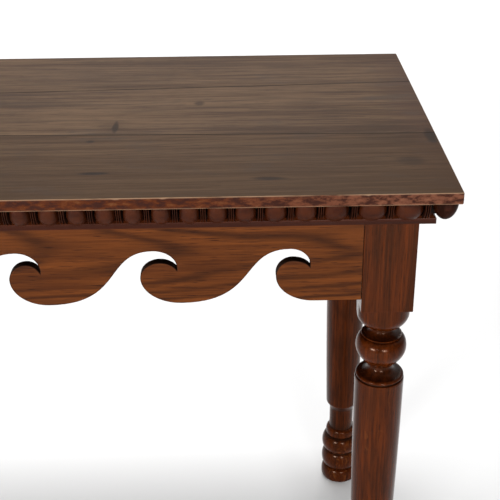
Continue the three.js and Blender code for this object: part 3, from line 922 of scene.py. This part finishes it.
class TABLE_OT_moulding(bpy.types.Operator):
    """Carves the four lengths of egg-and-dart moulding"""

    bl_idname = "table.moulding"
    bl_label = "Carve the moulding"

    def execute(self, context):
        own = context.scene.table_moulding
        finishes = {along: moulding_finish(own, along) for along in "XY"}
        meshes = {"Egg": egg_mesh(own), "Dart": dart_mesh(own), "Corner egg": corner_egg_mesh(own)}
        tools = {label: put(label, mesh) for label, mesh in meshes.items()}
        sizes = {label: getattr(own, label.lower().replace(" ", "_")) for label in RUN_SIZES}
        tree = egg_run_tree()
        for where, along, half_run, steps, place, turn in (
            ("front", "X", HALF_LENGTH, own.long_steps, (0, -HALF_DEPTH), 0),
            ("back", "X", HALF_LENGTH, own.long_steps, (0, HALF_DEPTH), 2 * QUARTER),
            ("right", "Y", HALF_DEPTH, own.end_steps, (HALF_LENGTH, 0), QUARTER),
            ("left", "Y", HALF_DEPTH, own.end_steps, (-HALF_LENGTH, 0), -QUARTER),
        ):
            values = {**tools, **sizes, "Finish": finishes[along], "Steps": steps, "Half run": half_run}
            mesh = grow("carved_" + where, ground_mesh(own, half_run, finishes[along]), tree, values)
            mesh.transform(Matrix.Translation((*place, UNDER_TOP)) @ Matrix.Rotation(turn, 4, "Z"))
            set_down("carved_moulding_" + where, mesh, "moulding_oak", "moulding_" + where)
        for tool in tools.values():
            bpy.data.objects.remove(tool)
        return {"FINISHED"}


# ---- the aprons ------------------------------------------------------------------------
def bezier(a, b, c, d, steps):
    points = []
    for step in range(steps + 1):
        t = step / steps
        s = 1 - t
        weights = (s**3, 3 * s * s * t, 3 * s * t * t, t**3)
        points.append(tuple(sum(w * p[axis] for w, p in zip(weights, (a, b, c, d))) for axis in (0, 1)))
    return points


def wave(own, crest, stray, foot, end):
    """One wave of the lower edge, drawn from right to left about the crest's X, from foot to end.

    The saw strayed: stray, from 0 to 2, says how far the head leans back and the slot opens."""
    nose = crest - (20 - 8 * max(0, stray - 1)) * MM
    nose_height, head_top = 42 * MM, 67 * MM
    top_x, slot_end = crest + (4.5 + 4.5 * stray) * MM, crest + (29.7 + 4.2 * min(1, stray)) * MM
    slot_floor, slot_roof = (56 - 2 * stray) * MM, (60.5 - 2 * stray) * MM
    tip = 0.45  # how far short of upright the head's curve stops, in radians
    head_reach = (head_top - slot_floor) / (1 - math.sin(tip))
    run, high = crest - end, own.wave_height
    head_end = (slot_end - top_x) / math.cos(tip)
    return (
        arc((foot, nose_height), foot - nose, nose_height, -QUARTER, -2 * QUARTER, 16)
        + arc((top_x, nose_height), top_x - nose, head_top - nose_height, 2 * QUARTER, QUARTER, 12)
        + arc((top_x, head_top - head_reach), head_end, head_reach, QUARTER, tip, 12)
        + arc((crest, slot_roof), slot_end - crest, high - slot_roof, 0.0, QUARTER, 16)
        + bezier((crest, high), (crest - run * 0.46, high), (crest - run * 0.29, 0.0), (end, 0.0), 26)
    )


def wave_outline(own, half, height):
    """Outline of a long apron, its foot at Z = 0."""
    foot_gap = 36 * MM
    waves = math.floor((2 * half - own.last_crest - own.wave_pitch + foot_gap) / own.wave_pitch) + 1
    strays = [abs((place + 2) % 4 - 2) for place in range(waves)]
    crests = [half - own.last_crest - place * own.wave_pitch for place in range(waves)]
    feet = [crest + foot_gap + 3 * MM * stray for crest, stray in zip(crests, strays)]
    ends = feet[1:] + [crests[-1] - own.wave_pitch + foot_gap]
    points = [(half, 0.0)]
    for crest, stray, foot, end in zip(crests, strays, feet, ends):
        points += wave(own, crest, stray, foot, end)
    points += [(-half, 0.0), (-half, height), (half, height)]
    return tidy_outline(points)


def tidy_outline(points, least=0.05 * MM):
    kept = [points[0]]
    for point in points[1:]:
        if math.dist(point, kept[-1]) > least:
            kept.append(point)
    return kept


def shrunk(outline, inset):
    """The outline moved into the wood by inset, corner by corner."""
    if not inset:
        return list(outline)
    following = outline[1:] + outline[:1]
    way = math.copysign(1, sum(a[0] * b[1] - b[0] * a[1] for a, b in zip(outline, following)))
    moved = []
    for before, (x, z), after in zip(outline[-1:] + outline[:-1], outline, following):
        first = Vector((x - before[0], z - before[1])).normalized()
        second = Vector((after[0] - x, after[1] - z)).normalized()
        lean = Vector((-(first.y + second.y), first.x + second.x)) * way
        lean.normalize()
        reach = inset / max(0.5, lean.dot(Vector((-first.y, first.x)) * way))
        moved.append((x + lean.x * reach, z + lean.y * reach))
    return moved


def plate_mesh(name, outline, thick, arris, finish, board, place):
    """A board cut to an outline, with softened edges. place turns (along, through, up) into a point."""
    # sawn paints shade onto the cut faces
    layers = [  # inset, through, sawn
        (arris * 2.4, 0.0, 0),
        (arris, 0.0, 0.5),
        (arris * 0.3, arris * 0.3, 1),
        (0.0, arris, 1),
        (0.0, arris * 2.4, 1),
    ]
    layers += [(inset, thick - through, cut) for inset, through, cut in reversed(layers)]
    rings = []
    for inset, through, cut in layers:
        rings.append([(*place(along, through, up), cut) for along, up in shrunk(outline, inset)])
    return solid(name, rings, finish, board, ["sawn"])


class TABLE_OT_aprons(bpy.types.Operator):
    """Saws the wave-cut long aprons and the plain end aprons"""

    bl_idname = "table.aprons"
    bl_label = "Saw the aprons"

    def execute(self, context):
        own = context.scene.table_aprons
        height = UNDER_TOP - FIT - APRON_FOOT
        long_half = LEG_X - LEG_HALF - FIT
        end_half = -LEG_Y - LEG_HALF - FIT
        waves = wave_outline(own, long_half, height)
        plain = [(end_half, 0.0), (end_half, height), (-end_half, height), (-end_half, 0.0)]
        side = APRON_FACE
        end = HALF_LENGTH - (HALF_DEPTH - APRON_FACE)
        long_finish, end_finish = apron_finish(own, "XZ"), apron_finish(own, "Y")
        for where, outline, finish, board, place in (
            ("front", waves, long_finish, 0.0, lambda a, t, u: (a, -side + t, APRON_FOOT + u)),
            ("back", waves, long_finish, 0.6, lambda a, t, u: (-a, side - t, APRON_FOOT + u)),
            ("right", plain, end_finish, 0.3, lambda a, t, u: (end - t, a, APRON_FOOT + u)),
            ("left", plain, end_finish, 0.8, lambda a, t, u: (-end + t, -a, APRON_FOOT + u)),
        ):
            node = "apron_" + where
            mesh = plate_mesh(node, outline, APRON_THICK, own.arris, finish, board, place)
            set_down("sawn_" + node, mesh, "apron_oak", node)
        return {"FINISHED"}


# ---- the legs --------------------------------------------------------------------------
class Turning:
    """A leg's profile, cut from the foot upwards. Every cut adds radius, height, wear and hollow, the
    painted shade its groove gets.
    """

    def __init__(self):
        self.points = []

    def at(self, radius, height, wear=0.0, hollow=0.0):
        self.points.append((radius, height, wear, hollow))
        return self

    def bead(self, low, high, valley, crown, steps=14):
        """A half-round ring between two valleys."""
        for step in range(steps + 1):
            turn = math.pi * step / steps
            out = math.sin(turn) ** 1.5
            self.at(
                valley + (crown - valley) * out,
                low + (high - low) * (1 - math.cos(turn)) / 2,
                max(0.0, out - 0.6) * 1.6,
                max(0.0, 1 - 1.8 * out),
            )
        return self

    def swell(self, radius, height, steps=10, wear=0.3, hollow=0.0, cone=1.0):
        """A quarter that leaves the last point level and ends upright; cone straightens its start."""
        r0, z0 = self.points[-1][:2]
        for step in range(1, steps + 1):
            turn = QUARTER * step / steps
            out = math.sin(turn) ** cone
            z = height + (z0 - height) * math.cos(turn)
            self.at(r0 + (radius - r0) * out, z, wear * step / steps, hollow)
        return self

    def close_in(self, radius, height, steps=10, wear=0.3):
        """A convex quarter from the last point in to a narrower ring above it."""
        r0, z0 = self.points[-1][:2]
        for step in range(1, steps + 1):
            turn = QUARTER * step / steps
            z = z0 + (height - z0) * math.sin(turn)
            self.at(radius + (r0 - radius) * math.cos(turn), z, wear * (1 - step / steps))
        return self


def leg_profile():
    """The turned part, from the floor to just inside the square, measured in millimetres."""
    wide, top = LEG_HALF / MM, SHOULDER / MM
    cut = Turning()
    valley, crown = wide - 7.4, wide - 0.5  # the foot's three rings
    cut.at(wide - 5.5, 0.0, 0.2, 0.4).at(wide - 4, 0.8, 0.8, 0.2)
    cut.swell(crown, 13, wear=0.5).close_in(valley, 30)
    cut.bead(30.6, 71.4, valley, crown).bead(72, 109, valley, crown)
    collar = wide - 8.2
    cut.at(collar - 2, 110.5, 0, 0.9).at(collar - 0.4, 113, 0.3, 0.1)
    cut.swell(collar, 119, 5).close_in(wide - 13, 129, 7)
    cut.at(wide - 14.4, 130, 0, 0.8).at(wide - 14.6, 150, 0, 0.1)
    cut.at(wide - 14.4, 176, 0, 0.2).at(wide - 14, 180.5, 0, 0.8)
    cut.at(wide - 8, 190.5, 0.4, 0.1).at(wide - 7.2, 192.5, 0.9)
    rim = top - 139  # the long column, up to its rim
    low, high = 194.5, rim - 3
    for step in range(25):
        share_up = step / 24
        swollen = wide - 7 + 6.5 * share_up + 1.4 * math.sin(math.pi * share_up)
        cut.at(swollen, low + (high - low) * share_up)
    cut.at(wide - 0.4, rim - 1, 0.8).at(wide - 0.9, rim + 0.8, 1.0)
    cut.at(wide - 3.6, rim + 1.6, 0, 1).at(wide - 4.4, rim + 3.4, 0, 1)
    cut.at(wide - 2.6, rim + 4, 0.3, 0.4)
    cut.swell(wide - 1.4, rim + 5.6, 5, 0.6).close_in(wide - 5, rim + 8.8, 7, 0.6)
    neck = 17.7  # the lower neck and the bulb
    cut.swell(neck, top - 117, 12, 0.0, 0.5).at(neck, top - 114.2, 0, 0.5).at(20.4, top - 113.7, 0.5)
    cut.at(21.5, top - 112.8, 0.8).at(20.9, top - 111.8, 0, 0.7)
    cut.swell(wide + 0.2, top - 81, 18, 0.6, cone=1.9).close_in(wide - 8.6, top - 63.2, 12, 0.6)
    cut.at(wide - 9.8, top - 62.8, 0, 1).at(wide - 10, top - 61.8, 0, 1)
    cut.at(wide - 7.8, top - 61.2, 0.8).at(wide - 7.4, top - 60.4, 1.0).at(wide - 7.9, top - 59.5, 1.0)
    neck = 16.8  # the upper neck and the cup
    cut.swell(neck, top - 51.6, 12, 0.0, 0.5).at(neck, top - 48.8, 0, 0.4).at(19.5, top - 48.2, 0.4)
    cut.at(20.6, top - 47.2, 0.7).at(20.2, top - 46.1, 0, 0.8)
    cut.swell(41, top - 19, 18, 0.2, cone=1.45).at(41.3, top - 8).at(41.3, top + 2)
    return [(radius * MM, height * MM, worn, deep) for radius, height, worn, deep in cut.points]


def turned_mesh(name, centre, points, around, finish, board):
    """The turning. Where it is wider than the square it was cut from, the square's flats remain."""
    rings = []
    for radius, height, worn, deep in points:
        ring = []
        for step in range(around):
            turn = math.tau * step / around
            across, out = math.cos(turn), math.sin(turn)
            reach = min(radius, (LEG_HALF - 0.1 * MM) / max(abs(across), abs(out)))
            ring.append((centre[0] + reach * across, centre[1] + reach * out, height, worn, deep))
        rings.append(ring)
    return solid(name, rings, finish, board)


def rounded_square(half, radius):
    """A square outline with rounded corners and a point just beside each one; the last number is 1 inside
    a corner's curve."""
    points = []
    for corner, (side_x, side_y) in enumerate(((1, 1), (-1, 1), (-1, -1), (1, -1))):
        start = corner * QUARTER
        curve = corner_arc(side_x * (half - radius), side_y * (half - radius), radius, start)
        along, across = math.cos(start) * MM, math.sin(start) * MM
        before = (curve[0][0] + across, curve[0][1] - along)
        after = (curve[-1][0] - along, curve[-1][1] - across)
        points += [(*point, 0) for point in (before, curve[0])]
        points += [(*point, 1) for point in curve[1:4]]
        points += [(*point, 0) for point in (curve[4], after)]
    return points


def block_mesh(name, centre, own, finish, board):
    """The square over the turning."""
    arris, foot = own.arris, SHOULDER - own.block_drop
    # hollow paints shade onto the square's underside
    layers = [  # inset, height, wear, hollow
        (arris * 2, foot, 0, 0.5),
        (arris * 0.7, foot, 0.5, 0.2),
        (arris * 0.2, foot + arris * 0.2, 1, 0),
        (0.0, foot + arris * 0.7, 0.5, 0),
        (0.0, foot + arris * 2, 0, 0),
        (0.0, UNDER_TOP - FIT - arris, 0, 0),
        (0.0, UNDER_TOP - FIT, 0, 0),
    ]
    rings = []
    for inset, height, worn, deep in layers:
        ring = []
        for x, y, in_corner in rounded_square(LEG_HALF - inset, arris):
            ring.append((centre[0] + x, centre[1] + y, height, max(worn, 0.8 * in_corner), deep))
        rings.append(ring)
    return solid(name, rings, finish, board)


class TABLE_OT_legs(bpy.types.Operator):
    """Turns the four legs"""

    bl_idname = "table.legs"
    bl_label = "Turn the legs"

    def execute(self, context):
        own = context.scene.table_legs
        finish, points = leg_finish(own), leg_profile()
        for where, side_x, side_y, board in (
            ("front_right", 1, 1, 0.0),
            ("back_right", 1, -1, 0.35),
            ("back_left", -1, -1, 0.55),
            ("front_left", -1, 1, 0.8),
        ):
            centre = (side_x * LEG_X, side_y * LEG_Y)
            node = "leg_" + where
            turned = turned_mesh("turning", centre, points, own.turning_steps, finish, board)
            block = block_mesh("block", centre, own, finish, board)
            name = "turned_" + node
            set_down(name, joined(name, [turned, block]), "leg_oak", node)
        return {"FINISHED"}


# ---- the parts carried over from the frame ---------------------------------------------
class TABLE_OT_fittings(bpy.types.Operator):
    """Gives the bearers, buttons, tongues and screws their finishes"""

    bl_idname = "table.fittings"
    bl_label = "Finish the fittings"

    def execute(self, context):
        own = context.scene.table_frame
        wood, steel = frame_finish(own), steel_finish(own)
        for name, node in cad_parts.items():
            if name.startswith(("tongue", "cross_bearer", "button")):
                dress(node, wood)
            elif name.startswith("screw"):
                dress(node, steel)
        return {"FINISHED"}


def dress(node, finish):
    """Puts one finish in all of a node's material slots."""
    if not node.material_slots:
        raise RuntimeError(node.name + " has no material slot")
    for slot in node.material_slots:
        slot.link = "OBJECT"
        slot.material = finish


# ---- the stage -------------------------------------------------------------------------
def stand_camera(own):
    forward = Vector((math.sin(own.yaw), math.cos(own.yaw), 0))
    right = Vector((math.cos(own.yaw), -math.sin(own.yaw), 0))
    up = Vector((0, 0, 1))
    ahead = forward * math.cos(own.pitch) - up * math.sin(own.pitch)
    down = -(up * math.cos(own.pitch) + forward * math.sin(own.pitch))
    across = right * math.cos(own.roll) + down * math.sin(own.roll)
    below = -right * math.sin(own.roll) + down * math.cos(own.roll)
    camera = put("Camera", bpy.data.cameras.new("Camera"))
    camera.data.lens = own.lens
    camera.data.sensor_width = 36.0
    camera.data.clip_end = 60.0
    turn = Matrix((across, -below, -ahead)).transposed()
    camera.matrix_world = Matrix.Translation(own.camera_at) @ turn.to_4x4()
    bpy.context.scene.camera = camera


def hang_lamp(name, place, target, width, depth, power):
    lamp = bpy.data.lights.new(name, "AREA")
    lamp.shape = "RECTANGLE"
    lamp.size, lamp.size_y = width, depth
    lamp.energy = power
    holder = put(name, lamp)
    aim = Vector(target) - Vector(place)
    holder.visible_camera = False
    holder.matrix_world = Matrix.Translation(place) @ aim.to_track_quat("-Z", "Y").to_matrix().to_4x4()


def lay_floor(own):
    finish, bench = new_finish("Pale floor")
    x, y, z = bench.position()
    speckle = bench.cloud(bench.vector(x, y, z), 40.0, 3.0)
    base = bench.mix(speckle * 0.04, own.floor, linear("d0d0d0"))
    normal = bench.bump(speckle, 0.05, 0.2 * MM)
    close_finish(bench, base, 0.7 + speckle * 0.1, normal, Specular_IOR_Level=0.2)
    reach = 14.0  # metres from the middle to the floor's edges
    corners = [(-reach, -reach, 0), (reach, -reach, 0), (reach, reach, 0), (-reach, reach, 0)]
    mesh = bpy.data.meshes.new("Floor")
    mesh.from_pydata(corners, [], [(0, 1, 2, 3)])
    mesh.materials.append(finish)
    put("Floor", mesh)


def light_room(own):
    """A pale room, brightest behind the table and dimmer on the camera's side."""
    world = bpy.data.worlds.new("Pale room")
    bpy.context.scene.world = world
    world.use_nodes = True
    world.node_tree.nodes.clear()
    bench = Bench(world.node_tree)
    way = bench.node("ShaderNodeTexCoord", output="Generated")
    x = bench.node("ShaderNodeSeparateXYZ", {}, {0: way})
    behind = (x.also("Y") * 0.8 + x.also("Z") * 0.6 - x * 0.2).between(-0.2, 0.5)
    strength = own.surround * (behind * 0.78 + 0.22)
    shine = bench.node("ShaderNodeBackground", {}, {"Color": (1.0, 1.0, 1.0, 1.0), "Strength": strength})
    bench.node("ShaderNodeOutputWorld", {}, {"Surface": shine})


class TABLE_OT_stage(bpy.types.Operator):
    """Sets up the camera, lamps, room and floor"""

    bl_idname = "table.stage"
    bl_label = "Set the stage"

    def execute(self, context):
        own = context.scene.table_stage
        context.scene.view_settings.view_transform = "Standard"
        stand_camera(own)
        light_room(own)
        lay_floor(own)
        leg = (0.67, -0.23, 0.6)
        hang_lamp("Top lamp", (0.2, 0.75, 5.0), (0.2, 0.1, 0), 1.4, 0.9, own.top_lamp)
        hang_lamp("Left softbox", (-1.03, -2.06, 0.85), leg, 0.56, 0.2, own.left_box)
        hang_lamp("Right softbox", (1.02, -2.7, 0.85), leg, 0.56, 0.2, own.right_box)
        hang_lamp("Cove lamp", (0, 5.5, 4.0), (0, 5.5, 0), 4.0, 2.4, own.cove_lamp)
        return {"FINISHED"}


# ---- panel and registration ------------------------------------------------------------
SETTINGS = {
    "table_top": TopSettings,
    "table_moulding": MouldingSettings,
    "table_aprons": ApronSettings,
    "table_legs": LegSettings,
    "table_frame": FrameSettings,
    "table_stage": StageSettings,
}
OPERATORS = (
    TABLE_OT_top,
    TABLE_OT_moulding,
    TABLE_OT_aprons,
    TABLE_OT_legs,
    TABLE_OT_fittings,
    TABLE_OT_stage,
)


class TABLE_PT_panel(bpy.types.Panel):
    """Lists the table's settings and the steps that build it"""

    bl_idname = "TABLE_PT_panel"
    bl_label = "Communion table"
    bl_space_type = "VIEW_3D"
    bl_region_type = "UI"
    bl_category = "Table"

    def draw(self, context):
        for operator, label in zip(OPERATORS, SETTINGS):
            own = getattr(context.scene, label)
            box = self.layout.box()
            box.operator(operator.bl_idname)
            for key in own.__annotations__:
                box.prop(own, key)


def register():
    for kind in (*SETTINGS.values(), *OPERATORS, TABLE_PT_panel):
        bpy.utils.register_class(kind)
    for label, kind in SETTINGS.items():
        setattr(bpy.types.Scene, label, bpy.props.PointerProperty(type=kind))


def unregister():
    for label in SETTINGS:
        delattr(bpy.types.Scene, label)
    for kind in (TABLE_PT_panel, *reversed(OPERATORS), *SETTINGS.values()):
        bpy.utils.unregister_class(kind)


def main():
    register()
    bpy.ops.table.top()
    bpy.ops.table.moulding()
    bpy.ops.table.aprons()
    bpy.ops.table.legs()
    bpy.ops.table.fittings()
    bpy.ops.table.stage()


if __name__ == "__main__":
    main()
